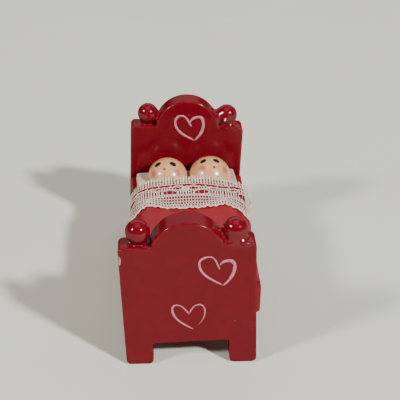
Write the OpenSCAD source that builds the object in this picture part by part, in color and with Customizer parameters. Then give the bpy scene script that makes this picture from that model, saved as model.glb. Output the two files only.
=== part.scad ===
// Miniature painted wooden bed with two sleepers: end boards with ball finials, a loaf-shaped
// bed block, a pillow, two half-ball heads and a lace band laid over the blanket.
// Every length is in millimetres.
// Frame: +Z up, +Y from the footboard to the headboard, +X to the right seen from the foot end.
// The origin is on the floor under the middle of the whole bed.

/* [Overall] */

// Length of the bed over the outside faces of its two end boards.
bed_length = 107; // [88:1:130]
// Width of an end board.
bed_width = 52; // [42:0.5:62]
// Thickness of an end board.
board_thickness = 9.2; // [7:0.1:12]

/* [End boards] */

// Height of the footboard's square shoulders over the floor.
foot_shoulder_height = 55.8; // [46:0.1:68]
// Height of the headboard's square shoulders over the floor.
head_shoulder_height = 57.6; // [48:0.1:70]
// How far the footboard's round arch stands over its shoulders.
foot_arch_rise = 10.0; // [7:0.1:13]
// How far the headboard's round arch stands over its shoulders.
head_arch_rise = 12.9; // [9:0.1:15]
// Radius of the round arch on both boards.
arch_radius = 14.4; // [12:0.1:17.5]
// Radius of the worn outer corners of the shoulders.
shoulder_corner_radius = 2.0; // [1:0.1:3]
// Sideways lean of the footboard's top, toward the left, in degrees.
foot_lean = 2.2; // [0:0.1:3]
// Sideways lean of the headboard's top, toward the right, in degrees.
head_lean = 1.7; // [0:0.1:3]
// Width of each leg at the floor.
leg_width = 10.9; // [8:0.1:13]
// Height of the cut-out between the legs of a board.
leg_height = 10.8; // [8:0.1:14]
// Radius in the cut-out's upper corners.
leg_corner_radius = 1.5; // [0.5:0.1:3]

/* [Finials] */

// Radius of the ball finials.
ball_radius = 4.7; // [3.9:0.05:5.7]
// Space left under the left foot ball, over its shoulder.
foot_left_standoff = 0.15; // [-1:0.05:0.4]
// Space left under the right foot ball; below zero it is sunk into its shoulder.
foot_right_standoff = -0.7; // [-1:0.05:0.4]
// Space left under both head balls, over their shoulder.
head_standoff = 0.15; // [-1:0.05:0.4]
// Clear space between a foot ball and the arch beside it.
foot_ball_gap = 1.3; // [0.3:0.05:2]
// Clear space between the left head ball and the arch beside it.
head_left_ball_gap = 0.1; // [0.05:0.05:1]
// Clear space between the right head ball and the arch beside it.
head_right_ball_gap = 0.35; // [0.05:0.05:1]

/* [Mattress and blanket] */

// Height of the bed block's underside over the floor.
deck_height = 17.8; // [14:0.1:22]
// Thickness of the bed block where its top lies bare beside the pillow.
mattress_height = 14.6; // [12:0.1:18]
// How far the blanket's long top edge line stands over the bare mattress top.
blanket_rise = 8.0; // [6.5:0.1:10]
// How much higher the middle of the blanket stands than its edges.
blanket_crown = 0.6; // [0.3:0.05:1]
// Radius of the blanket's long rounded edges.
blanket_edge_radius = 11; // [9:0.1:13.5]
// How much wider the bed block is than the end boards.
block_extra_width = 0.3; // [0:0.1:3]
// How far the bed block was glued off centre, to the right.
block_shift = 1.45; // [0:0.05:2]

/* [Pillow and heads] */

// Thickness of the pillow.
pillow_thickness = 4.1; // [3.3:0.1:5]
// Free mattress left between a side of the bed block and the pillow's end.
pillow_side_margin = 3.1; // [2:0.1:5]
// Turn of the pillow seen from above, in degrees.
pillow_turn = 4; // [0:0.5:4.5]
// Radius of the pillow's upright corners.
pillow_corner_radius = 1.6; // [1:0.1:2.5]
// Radius of the left head.
left_head_radius = 9.2; // [7.5:0.05:11.2]
// Radius of the right head.
right_head_radius = 9.7; // [7.5:0.05:11.7]
// Space between the two heads.
heads_gap = 0.6; // [0.2:0.1:2]
// How far a head's ball centre stands over the flat it is cut to.
head_centre_lift = 0.5; // [0:0.1:2]
// Free length that the larger head leaves between the blanket's end and the headboard.
head_room = 0.8; // [0.5:0.05:2]
// The part of that free length that lies between the heads and the headboard.
head_back_gap = 0.25; // [0.1:0.05:0.4]
// How far the gap between the heads lies right of the bed block's middle.
heads_shift = 0.45; // [-1:0.05:1]
// How far the pillow's middle lies left of the bed block's middle.
pillow_shift = 0.15; // [-1:0.05:1]

/* [Lace] */

// Width of the lace band, along the bed.
lace_width = 25.4; // [20:0.2:31]
// How far the lace's upper edge stands over the blanket's end.
lace_overhang = 0.25; // [0:0.05:0.3]
// Thickness of the lace.
lace_thickness = 0.45; // [0.35:0.05:0.6]
// How high the lace's loose ends stop over the underside of the bed block.
lace_end_height = 2.2; // [1:0.1:6]

/* [Pins and dowels] */

// Radius of the pins that hold the balls.
pin_radius = 1.0; // [0.7:0.05:1.3]
// Length of the pins that hold the balls.
pin_length = 7.5; // [6:0.1:9]
// How deep a pin stands in its ball.
pin_in_ball = 2.9; // [2.3:0.1:3.6]
// Radius of the dowels that hold the end boards to the bed block.
dowel_radius = 1.5; // [1.2:0.05:2]
// Length of the dowels that hold the end boards.
dowel_length = 15; // [12:0.5:18]
// How deep a dowel stands in its end board.
dowel_in_board = 5.5; // [4.4:0.1:6.6]
// Distance between the two dowels of a board.
dowel_spacing = 28.6; // [23:0.2:35]
// Radial room for glue round every pin and dowel.
glue_room = 0.05; // [0.02:0.01:0.1]

/* [Hidden] */

$fn = 96;

// Paint and material colours.
red = [0.55, 0.05, 0.06];
white = [0.90, 0.89, 0.86];
skin = [0.90, 0.68, 0.50];
bare_wood = [0.78, 0.62, 0.42];
lace_white = [0.93, 0.90, 0.86];

// A cut reaches this far past the solid that it goes through.
over = 1;
// A space that keeps two neighbours from touching.
clearance = 0.08;
// The boards are drawn this far below the floor and then cut flush with it.
floor_cut = 4;

// The rise above the shoulder and the radius fix how deep the arch's centre lies.
foot_arch_drop = arch_radius - foot_arch_rise;
head_arch_drop = arch_radius - head_arch_rise;

// Facing faces of the two end boards.
inside_length = bed_length - 2 * board_thickness;
foot_face_y = -inside_length / 2;
head_face_y = inside_length / 2;

// Heights through the bed block, from the underside up.
mattress_top = deck_height + mattress_height;
blanket_edge_top = mattress_top + blanket_rise;
block_width = bed_width + block_extra_width;
// The crown is one wide circle that runs over into the two rounded edges. The edges stand out of
// it by a hair, so that each meets it at a true crossing.
crown_top = blanket_edge_top + blanket_crown;
crown_half_chord = block_width / 2 - blanket_edge_radius;
crown_radius = (crown_half_chord * crown_half_chord + blanket_crown * blanket_crown)
               / (2 * blanket_crown);
crown_bite = 0.02;
crown_reach = crown_radius - blanket_edge_radius + crown_bite;
edge_centre_z = crown_top - crown_radius + sqrt(pow(crown_reach, 2) - pow(crown_half_chord, 2));
crown_meet_x = crown_half_chord * crown_radius / crown_reach;

// The heads fill the space between the blanket's end and the headboard.
largest_head = max(left_head_radius, right_head_radius);
head_space = 2 * largest_head + head_room;
blanket_end_y = head_face_y - head_space;
heads_y = head_face_y - largest_head - head_back_gap;
heads_middle_x = block_shift + heads_shift;
left_head_x = heads_middle_x - heads_gap / 2 - left_head_radius;
right_head_x = heads_middle_x + heads_gap / 2 + right_head_radius;

// The pillow is turned, so its depth leaves room for its corners at both long edges.
pillow_width = block_width - 2 * pillow_side_margin;
pillow_swing = pillow_width * sin(pillow_turn);
pillow_depth = (head_space - pillow_swing - 2 * clearance) / cos(pillow_turn);
pillow_y = head_face_y - head_space / 2;
pillow_x = block_shift - pillow_shift;
pillow_top = mattress_top + pillow_thickness;

// The lace's upper edge lies over the blanket's end.
lace_head_y = blanket_end_y + lace_overhang;

// Heights of the balls' centres over their shoulders.
foot_left_ball_lift = ball_radius + foot_left_standoff;
foot_right_ball_lift = ball_radius + foot_right_standoff;
head_ball_lift = ball_radius + head_standoff;

// The blind holes are a little deeper than what stands in them.
hole_end_room = 0.3;
dowel_in_block = dowel_length - dowel_in_board;
dowel_z = deck_height + mattress_height / 2;
dowel_x = dowel_spacing / 2;

// Lower end of a pin, over the shoulder line, for a ball at this height.
function pin_foot(lift) = lift - ball_radius + pin_in_ball - pin_length;

// Distance of a ball from the middle of its board, so that it clears the arch by its gap.
function ball_x(lift, drop, gap) =
    sqrt(pow(arch_radius + ball_radius + gap, 2) - pow(lift + drop, 2));

foot_left_x = -ball_x(foot_left_ball_lift, foot_arch_drop, foot_ball_gap);
foot_right_x = ball_x(foot_right_ball_lift, foot_arch_drop, foot_ball_gap);
head_left_x = -ball_x(head_ball_lift, head_arch_drop, head_left_ball_gap);
head_right_x = ball_x(head_ball_lift, head_arch_drop, head_right_ball_gap);

// Puts a board's own flat frame in place: x across, y up, thickness toward the headboard.
module stand_board(front_y, lean) {
    translate([0, front_y, 0])
        rotate([0, lean, 0])
            rotate([90, 0, 0])
                mirror([0, 0, 1])
                    children();
}

// Outline of a board above the floor, without its cut-out.
module board_outline(shoulder, drop) {
    corner_x = bed_width / 2 - shoulder_corner_radius;
    corner_y = shoulder - shoulder_corner_radius;
    union() {
        // The plain body reaches below the floor, because the leaning board is cut flush there.
        translate([-bed_width / 2, -floor_cut])
            square([bed_width, corner_y + floor_cut]);
        translate([-corner_x, -floor_cut])
            square([2 * corner_x, shoulder + floor_cut]);
        for (side = [-1, 1])
            translate([side * corner_x, corner_y])
                circle(r = shoulder_corner_radius);
        translate([0, shoulder - drop])
            circle(r = arch_radius);
    }
}

// The opening between the legs, with rounded upper corners.
module leg_opening() {
    half = bed_width / 2 - leg_width;
    union() {
        translate([-half, -floor_cut - over])
            square([2 * half, leg_height - leg_corner_radius + floor_cut + over]);
        translate([-half + leg_corner_radius, -floor_cut - over])
            square([2 * (half - leg_corner_radius), leg_height + floor_cut + over]);
        for (side = [-1, 1])
            translate([side * (half - leg_corner_radius), leg_height - leg_corner_radius])
                circle(r = leg_corner_radius);
    }
}

// A ball finial's seat and pin hole, cut from a board in the board's own frame.
module ball_seat(x, shoulder, lift) {
    translate([x, shoulder + lift, board_thickness / 2])
        sphere(r = ball_radius + clearance);
    translate([x, shoulder + pin_foot(lift) - hole_end_room, board_thickness / 2])
        rotate([-90, 0, 0])
            cylinder(r = pin_radius + glue_room, h = pin_length + hole_end_room);
}

// One end board with its cut-out, ball seats and the holes for its two dowels.
module end_board(front_y, lean, shoulder, drop, left_x, left_lift, right_x, right_lift) {
    difference() {
        stand_board(front_y, lean) {
            difference() {
                linear_extrude(height = board_thickness)
                    difference() {
                        board_outline(shoulder, drop);
                        leg_opening();
                    }
                ball_seat(left_x, shoulder, left_lift);
                ball_seat(right_x, shoulder, right_lift);
            }
        }
        // The feet are cut flush with the floor.
        translate([-bed_width, front_y - over, -2 * floor_cut])
            cube([2 * bed_width, board_thickness + 2 * over, 2 * floor_cut]);
        board_dowel_holes();
    }
}

// Blind holes for the four dowels, half in the boards and half in the bed block.
module board_dowel_holes() {
    for (x = [-dowel_x, dowel_x]) {
        translate([x, foot_face_y - dowel_in_board - hole_end_room, dowel_z])
            rotate([-90, 0, 0])
                cylinder(r = dowel_radius + glue_room, h = dowel_length + 2 * hole_end_room);
        translate([x, head_face_y - dowel_in_block - hole_end_room, dowel_z])
            rotate([-90, 0, 0])
                cylinder(r = dowel_radius + glue_room, h = dowel_length + 2 * hole_end_room);
    }
}

// Cross-section of the bed block under its blanket; grow moves the whole skin outward.
module loaf(grow) {
    half = block_width / 2;
    intersection() {
        union() {
            translate([-half - grow, deck_height])
                square([2 * (half + grow), edge_centre_z - deck_height]);
            translate([-crown_meet_x, deck_height])
                square([2 * crown_meet_x, 2 * blanket_edge_top]);
            for (side = [-1, 1])
                translate([side * crown_half_chord, edge_centre_z])
                    circle(r = blanket_edge_radius + grow);
        }
        // The shallow crown.
        translate([0, crown_top - crown_radius])
            circle(r = crown_radius + grow, $fn = 720);
    }
}

// Sweeps a cross-section along the bed from one station for a given length.
module along_bed(start_y, length) {
    translate([block_shift, start_y, 0])
        rotate([90, 0, 0])
            mirror([0, 0, 1])
                linear_extrude(height = length)
                    children();
}

// Headboard, the taller end, leaning a little to the right.
module headboard() {
    color(red)
        end_board(head_face_y, head_lean, head_shoulder_height, head_arch_drop,
                  head_left_x, head_ball_lift, head_right_x, head_ball_lift);
}

// Footboard, leaning a little to the left.
module footboard() {
    color(red)
        end_board(foot_face_y - board_thickness, -foot_lean, foot_shoulder_height, foot_arch_drop,
                  foot_left_x, foot_left_ball_lift, foot_right_x, foot_right_ball_lift);
}

// Bed block between the boards, flat where the pillow lies.
module mattress() {
    color(red)
        difference() {
            along_bed(foot_face_y, inside_length)
                intersection() {
                    loaf(0);
                    translate([-block_width, 0])
                        square([2 * block_width, mattress_top]);
                }
            board_dowel_holes();
        }
}

// Rounded blanket slab on the mattress, from the footboard to the sleepers' chins.
module blanket() {
    color(red)
        along_bed(foot_face_y, blanket_end_y - foot_face_y)
            intersection() {
                loaf(0);
                translate([-block_width, mattress_top])
                    square([2 * block_width, 2 * blanket_edge_radius]);
            }
}

// Flat pillow block, laid a little askew.
module pillow() {
    inner_w = pillow_width - 2 * pillow_corner_radius;
    inner_d = pillow_depth - 2 * pillow_corner_radius;
    color(white)
        translate([pillow_x, pillow_y, mattress_top])
            rotate([0, 0, pillow_turn])
                linear_extrude(height = pillow_thickness)
                    union() {
                        square([pillow_width, inner_d], center = true);
                        square([inner_w, pillow_depth], center = true);
                        for (side = [-1, 1])
                            for (end = [-1, 1])
                                translate([side * inner_w / 2, end * inner_d / 2])
                                    circle(r = pillow_corner_radius);
                    }
}

// A head: a ball cut flat where it is glued to the pillow.
module half_ball(x, radius) {
    translate([x, heads_y, pillow_top])
        intersection() {
            translate([0, 0, head_centre_lift])
                sphere(r = radius);
            translate([-2 * radius, -2 * radius, 0])
                cube([4 * radius, 4 * radius, 2 * radius]);
        }
}

// Sleeper on the left.
module head_left() {
    color(skin)
        half_ball(left_head_x, left_head_radius);
}

// Sleeper on the right.
module head_right() {
    color(skin)
        half_ball(right_head_x, right_head_radius);
}

// A ball with the blind hole for its pin, in its board's own frame.
module ball(x, shoulder, lift) {
    translate([x, shoulder + lift, board_thickness / 2])
        difference() {
            sphere(r = ball_radius);
            translate([0, -2 * ball_radius, 0])
                rotate([-90, 0, 0])
                    cylinder(r = pin_radius + glue_room,
                             h = ball_radius + pin_in_ball + hole_end_room);
        }
}

// Ball on the footboard's left shoulder.
module finial_foot_left() {
    color(red)
        stand_board(foot_face_y - board_thickness, -foot_lean)
            ball(foot_left_x, foot_shoulder_height, foot_left_ball_lift);
}

// Ball on the footboard's right shoulder.
module finial_foot_right() {
    color(red)
        stand_board(foot_face_y - board_thickness, -foot_lean)
            ball(foot_right_x, foot_shoulder_height, foot_right_ball_lift);
}

// Ball on the headboard's left shoulder.
module finial_head_left() {
    color(red)
        stand_board(head_face_y, head_lean)
            ball(head_left_x, head_shoulder_height, head_ball_lift);
}

// Ball on the headboard's right shoulder.
module finial_head_right() {
    color(red)
        stand_board(head_face_y, head_lean)
            ball(head_right_x, head_shoulder_height, head_ball_lift);
}

// One pin, from inside the shoulder up into its ball.
module pin(x, shoulder, lift) {
    translate([x, shoulder + pin_foot(lift), board_thickness / 2])
        rotate([-90, 0, 0])
            cylinder(r = pin_radius, h = pin_length);
}

// The four hidden pins of the ball finials.
module finial_pins() {
    color(bare_wood) {
        stand_board(foot_face_y - board_thickness, -foot_lean) {
            pin(foot_left_x, foot_shoulder_height, foot_left_ball_lift);
            pin(foot_right_x, foot_shoulder_height, foot_right_ball_lift);
        }
        stand_board(head_face_y, head_lean) {
            pin(head_left_x, head_shoulder_height, head_ball_lift);
            pin(head_right_x, head_shoulder_height, head_ball_lift);
        }
    }
}

// The four hidden dowels between the boards and the bed block.
module board_dowels() {
    color(bare_wood)
        for (x = [-dowel_x, dowel_x]) {
            translate([x, foot_face_y - dowel_in_board, dowel_z])
                rotate([-90, 0, 0])
                    cylinder(r = dowel_radius, h = dowel_length);
            translate([x, head_face_y - dowel_in_block, dowel_z])
                rotate([-90, 0, 0])
                    cylinder(r = dowel_radius, h = dowel_length);
        }
}

// Lace band over the blanket's head end and down both sides of the bed block.
module lace_trim() {
    color(lace_white)
        along_bed(lace_head_y - lace_width, lace_width)
            difference() {
                intersection() {
                    loaf(clearance + lace_thickness);
                    translate([-block_width, deck_height + lace_end_height])
                        square([2 * block_width, 2 * blanket_edge_top]);
                }
                loaf(clearance);
            }
}

headboard();
footboard();
mattress();
blanket();
pillow();
head_left();
head_right();
finial_foot_left();
finial_foot_right();
finial_head_left();
finial_head_right();
finial_pins();
board_dowels();
lace_trim();
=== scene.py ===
"""Miniature painted wooden bed with two sleepers and a lace band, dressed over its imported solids.

Shapes are worked out in millimetres in the frame of the solids: +Z up, +Y from the footboard to the
headboard, +X to the right seen from the foot end. They turn into metres when a mesh is made.
"""

import logging
import math
from collections.abc import Callable, Sequence
from dataclasses import dataclass
from enum import Enum

import bpy
import numpy as np
from mathutils import Matrix, Vector


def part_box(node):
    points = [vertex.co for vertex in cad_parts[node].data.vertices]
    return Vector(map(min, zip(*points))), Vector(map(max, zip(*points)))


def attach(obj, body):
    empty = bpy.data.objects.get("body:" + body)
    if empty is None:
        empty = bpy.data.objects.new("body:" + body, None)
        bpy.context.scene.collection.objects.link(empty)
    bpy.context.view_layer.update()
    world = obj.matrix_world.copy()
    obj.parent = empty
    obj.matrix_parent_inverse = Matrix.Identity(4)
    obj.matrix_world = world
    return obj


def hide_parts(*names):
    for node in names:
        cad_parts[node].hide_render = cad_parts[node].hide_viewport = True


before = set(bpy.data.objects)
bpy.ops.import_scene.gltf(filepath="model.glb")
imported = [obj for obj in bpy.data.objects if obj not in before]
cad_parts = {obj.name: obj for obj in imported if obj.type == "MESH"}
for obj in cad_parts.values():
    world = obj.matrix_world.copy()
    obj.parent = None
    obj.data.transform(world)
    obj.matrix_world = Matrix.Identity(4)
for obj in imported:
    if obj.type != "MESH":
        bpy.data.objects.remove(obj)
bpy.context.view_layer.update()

MM = 0.001
BODY = "root"
log = logging.getLogger("bed")

Array = np.ndarray
Distance = Callable[[Array], Array]
Colour = tuple[float, float, float]
Spot = tuple[float, float]
Material = bpy.types.Material
Piece = bpy.types.Object
Node = bpy.types.Node
Socket = bpy.types.NodeSocket


# ---------------------------------------------------------------- distances and skins


def blend_min(a: Array, b: Array, reach: float) -> Array:
    """Joins two solids with a fillet.

    Args:
        a: Distances to the first solid.
        b: Distances to the second solid.
        reach: How far the fillet reaches, in millimetres.

    Returns:
        Distances to the joined solid.
    """
    h = np.clip(0.5 + 0.5 * (b - a) / reach, 0, 1)
    return b + (a - b) * h - reach * h * (1 - h)


def blend_max(a: Array, b: Array, reach: float) -> Array:
    """Cuts one solid with another and rounds the new edge.

    Args:
        a: Distances to the solid that is kept.
        b: Distances to the space that is kept.
        reach: Width of the rounded edge, in millimetres.

    Returns:
        Distances to what is left.
    """
    return -blend_min(-a, -b, reach)


def slab(outline: Array, depth: Array, half_depth: float, edge: float) -> Array:
    """Gives an outline a thickness and rounds its long edges.

    Args:
        outline: Distances to the flat outline.
        depth: Distances from the middle plane.
        half_depth: Half the thickness.
        edge: Radius of the rounded edges.

    Returns:
        Distances to the solid.
    """
    u = outline + edge
    v = np.abs(depth) - (half_depth - edge)
    return np.minimum(np.maximum(u, v), 0) + np.hypot(np.maximum(u, 0), np.maximum(v, 0)) - edge


def round_rectangle(x: Array, z: Array, half: float, low: float, high: float, radius: float) -> Array:
    """Distances to an upright rectangle with rounded corners.

    Args:
        x: Places across.
        z: Places upward.
        half: Half the width.
        low: Lower edge.
        high: Upper edge.
        radius: Radius of the corners.

    Returns:
        The distances, negative inside.
    """
    u = np.abs(x) - (half - radius)
    v = np.abs(z - (low + high) / 2) - ((high - low) / 2 - radius)
    return np.minimum(np.maximum(u, v), 0) + np.hypot(np.maximum(u, 0), np.maximum(v, 0)) - radius


@dataclass
class Skin:
    """A closed mesh before it becomes a piece.

    Attributes:
        points: Vertices in millimetres.
        faces: Vertex numbers of each face.
        normals: Smooth normals, or None for Blender's own.
    """

    points: Array
    faces: list[Sequence[int]] | Array
    normals: Array | None = None


def slope(distance: Distance, points: Array, step: float = 0.03) -> Array:
    """Direction of steepest rise of a distance field.

    Args:
        distance: The field.
        points: Where to measure it.
        step: Half the span of the measurement.

    Returns:
        Unit vectors, one for each point.
    """
    rise = np.empty_like(points)
    for axis in range(3):
        shift = np.zeros(3)
        shift[axis] = step
        rise[:, axis] = distance(points + shift) - distance(points - shift)
    return rise / np.maximum(np.linalg.norm(rise, axis=1, keepdims=True), 1e-9)


def skin_of(distance: Distance, low: Sequence[float], high: Sequence[float], step: float) -> Skin:
    """Wraps a solid in quads that follow its surface closely.

    Args:
        distance: Distances to the solid, negative inside.
        low: Lowest corner of the searched space.
        high: Highest corner of the searched space.
        step: Spacing of the quads.

    Returns:
        The closed skin, with normals taken from the field.
    """
    axes = [np.arange(a - 1.37 * step, b + 1.4 * step, step) for a, b in zip(low, high)]
    shape = tuple(len(a) for a in axes)
    grid = np.stack(np.meshgrid(*axes, indexing="ij"), -1).reshape(-1, 3)
    value = np.concatenate([distance(part) for part in np.array_split(grid, 8)]).reshape(shape)
    corners = [(i, j, k) for i in (0, 1) for j in (0, 1) for k in (0, 1)]
    cells = tuple(n - 1 for n in shape)

    def at(corner: tuple[int, int, int]) -> Array:
        """Values at one corner of every cell."""
        return value[tuple(slice(c, c + n) for c, n in zip(corner, cells))]

    inside = sum((at(c) < 0).astype(np.int8) for c in corners)
    active = np.argwhere((inside > 0) & (inside < 8))
    number = -np.ones(cells, np.int64)
    number[tuple(active.T)] = np.arange(len(active))
    total, count = np.zeros((len(active), 3)), np.zeros(len(active))
    for a in corners:
        for axis in range(3):
            if a[axis]:
                continue
            b = tuple(1 if n == axis else a[n] for n in range(3))
            va, vb = at(a)[tuple(active.T)], at(b)[tuple(active.T)]
            cut = (va < 0) != (vb < 0)
            share = np.where(cut, va / np.where(cut, va - vb, 1), 0)
            place = active + np.array(a, float)
            place[:, axis] += share
            total += place * cut[:, None]
            count += cut
    points = np.array([a[0] for a in axes]) + total / count[:, None] * step
    for _ in range(3):
        move = np.clip(distance(points), -0.3 * step, 0.3 * step)
        points = points - move[:, None] * slope(distance, points)
    quads = []
    for axis in range(3):
        u, v = (axis + 1) % 3, (axis + 2) % 3
        here = value < 0
        there = np.roll(here, -1, axis)
        for flip in (False, True):
            edge = np.argwhere((here & ~there) if not flip else (~here & there))
            keep = (edge[:, axis] < shape[axis] - 1) & (edge[:, u] > 0) & (edge[:, v] > 0)
            keep &= (edge[:, u] < shape[u] - 1) & (edge[:, v] < shape[v] - 1)
            edge = edge[keep]
            ring = []
            for du, dv in ((1, 1), (0, 1), (0, 0), (1, 0)):
                cell = edge.copy()
                cell[:, u] -= du
                cell[:, v] -= dv
                ring.append(number[tuple(cell.T)])
            ring = np.stack(ring, 1)
            quads.append(ring[:, ::-1] if flip else ring)
    return Skin(points, np.concatenate(quads), slope(distance, points))


def tubes(lines: Array, normals: Array, width: Array, height: Array, sides: int = 6) -> Skin:
    """Sweeps flattened closed threads along lines of equal point count.

    Args:
        lines: Middle lines, lines x points x 3.
        normals: Surface normals at the same places.
        width: Half width of each thread at each point.
        height: Half height of each thread at each point.
        sides: Sides of a thread.

    Returns:
        One skin that holds every thread as a closed tube.
    """
    count, length = lines.shape[:2]
    run = np.gradient(lines, axis=1)
    run /= np.maximum(np.linalg.norm(run, axis=2, keepdims=True), 1e-9)
    across = np.cross(run, normals)
    across /= np.maximum(np.linalg.norm(across, axis=2, keepdims=True), 1e-9)
    up = np.cross(across, run)
    turn = np.arange(sides) * 2 * math.pi / sides
    ring = (
        lines[:, :, None]
        + across[:, :, None] * (np.cos(turn)[None, None, :, None] * width[:, :, None, None])
        + up[:, :, None] * (np.sin(turn)[None, None, :, None] * height[:, :, None, None])
    )
    index = np.arange(count * length * sides).reshape(count, length, sides)
    after = np.roll(index, -1, axis=2)
    wall = np.stack([index[:, :-1], after[:, :-1], after[:, 1:], index[:, 1:]], -1).reshape(-1, 4)
    faces = [tuple(q) for q in wall.tolist()]
    faces += [tuple(q[::-1]) for q in index[:, 0].tolist()]
    faces += [tuple(q) for q in index[:, -1].tolist()]
    return Skin(ring.reshape(-1, 3), faces)


def joined(skins: Sequence[Skin]) -> Skin:
    """Puts several skins into one.

    Args:
        skins: The skins.

    Returns:
        One skin without shared vertices.
    """
    points, faces, start = [], [], 0
    for skin in skins:
        points.append(skin.points)
        faces += [tuple(v + start for v in face) for face in skin.faces]
        start += len(skin.points)
    return Skin(np.concatenate(points), faces)


def make_piece(name: str, skin: Skin, finish: Material, stands_for: str | None = None) -> Piece:
    """Turns a skin into a piece that rides on the bed.

    Args:
        name: Name of the piece.
        skin: Its mesh in millimetres.
        finish: Its material.
        stands_for: CAD node that it replaces, if any.

    Returns:
        The new object.
    """
    mesh = bpy.data.meshes.new(name)
    faces = skin.faces.tolist() if isinstance(skin.faces, np.ndarray) else skin.faces
    mesh.from_pydata((skin.points * MM).tolist(), [], faces)
    mesh.polygons.foreach_set("use_smooth", [True] * len(mesh.polygons))
    if skin.normals is not None:
        mesh.normals_split_custom_set_from_vertices(skin.normals.tolist())
    mesh.materials.append(finish)
    piece = bpy.data.objects.new(name, mesh)
    bpy.context.scene.collection.objects.link(piece)
    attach(piece, BODY)
    if stands_for:
        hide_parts(stands_for)
    log.info("%s: %d faces", name, len(mesh.polygons))
    return piece


def add_mask(piece: Piece, name: str, values: Array) -> None:
    """Stores one number for each vertex, for a finish to read.

    Args:
        piece: The piece.
        name: Name of the mask.
        values: The numbers.
    """
    layer = piece.data.attributes.new(name, "FLOAT", "POINT")
    layer.data.foreach_set("value", np.asarray(values, np.float32))


def box_of(node: str) -> tuple[Array, Array]:
    """Lowest and highest corner of a CAD node, in millimetres."""
    low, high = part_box(node)
    return np.array(low) / MM, np.array(high) / MM


def painted(
    node: str, shape: Distance, finish: Material, step: float, reach: float = 0.0
) -> tuple[Piece, Array]:
    """Makes the painted piece that replaces a CAD node.

    Args:
        node: The CAD node.
        shape: Distances to the painted solid.
        finish: Its material.
        step: Spacing of the skin.
        reach: How far it may stand past the node's box.

    Returns:
        The piece and its points.
    """
    low, high = box_of(node)
    skin = skin_of(shape, low - reach, high + reach, step)
    return make_piece(f"{node}_painted", skin, finish, node), skin.points


def near(values: Array, start: float, end: float) -> Array:
    """Runs smoothly from 0 at start to 1 at end."""
    t = np.clip((values - start) / (end - start), 0, 1)
    return t * t * (3 - 2 * t)


# ---------------------------------------------------------------- shader groups


class Bench:
    """Builds one node tree with short calls."""

    def __init__(self, tree: bpy.types.NodeTree) -> None:
        """Keeps the tree."""
        self.tree = tree

    def feed(self, node: Node, inputs: dict) -> None:
        """Fills a node's sockets.

        Args:
            node: The node.
            inputs: Socket name or number to a value or to an output that feeds it.
        """
        for key, value in inputs.items():
            if isinstance(value, Socket):
                self.tree.links.new(value, node.inputs[key])
            else:
                node.inputs[key].default_value = value

    def add(self, kind: str, inputs: dict, **settings: object) -> Node:
        """Adds a node.

        Args:
            kind: Blender's name for the node, without ShaderNode.
            inputs: Socket name or number to a value or to an output that feeds it.
            **settings: Properties of the node.

        Returns:
            The node.
        """
        node = self.tree.nodes.new("ShaderNode" + kind)
        for key, value in settings.items():
            setattr(node, key, value)
        self.feed(node, inputs)
        return node

    def math(self, operation: str, a: object, b: object) -> Socket:
        """Puts two values through an operation."""
        return self.add("Math", {0: a, 1: b}, operation=operation).outputs[0]

    def plus(self, a: object, b: object) -> Socket:
        """Adds two values."""
        return self.math("ADD", a, b)

    def times(self, a: object, b: object) -> Socket:
        """Multiplies two values."""
        return self.math("MULTIPLY", a, b)

    def noise(self, at: Socket, scale: object, detail: float, rough: float = 0.5, bend: float = 0) -> Socket:
        """Gives cloudy noise from 0 to 1."""
        inputs = {"Vector": at, "Scale": scale, "Detail": detail, "Roughness": rough, "Distortion": bend}
        return self.add("TexNoise", inputs).outputs[0]

    def span(self, value: Socket, low: float, high: float, start: float = 0.0, end: float = 1.0) -> Socket:
        """Maps low to high onto start to end, with smooth ends."""
        inputs = {0: value, 1: low, 2: high, 3: start, 4: end}
        return self.add("MapRange", inputs, interpolation_type="SMOOTHSTEP").outputs[0]

    def mix(self, share: object, a: object, b: object) -> Socket:
        """Mixes two colours."""
        a, b = (c if isinstance(c, Socket) else (*c, 1.0) for c in (a, b))
        return self.add("Mix", {0: share, 6: a, 7: b}, data_type="RGBA").outputs[2]

    def place(self, stretch: tuple[float, float, float] = (1, 1, 1)) -> Socket:
        """Gives the place on the piece in metres, stretched along the axes."""
        here = self.add("TexCoord", {}).outputs["Object"]
        return self.add("Mapping", {"Vector": here, "Scale": stretch}).outputs[0]

    def mask(self, name: str) -> Socket:
        """Reads a mask that is stored on the piece."""
        return self.add("Attribute", {}, attribute_name=name).outputs["Fac"]


class Effect(Enum):
    """Surface effects that several finishes share."""

    BRUSHED = "Brushed paint"
    DUST = "Dust specks"
    WEAR = "Edge wear"
    GRAIN = "Wood grain"
    TWIST = "Thread twist"


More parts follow.
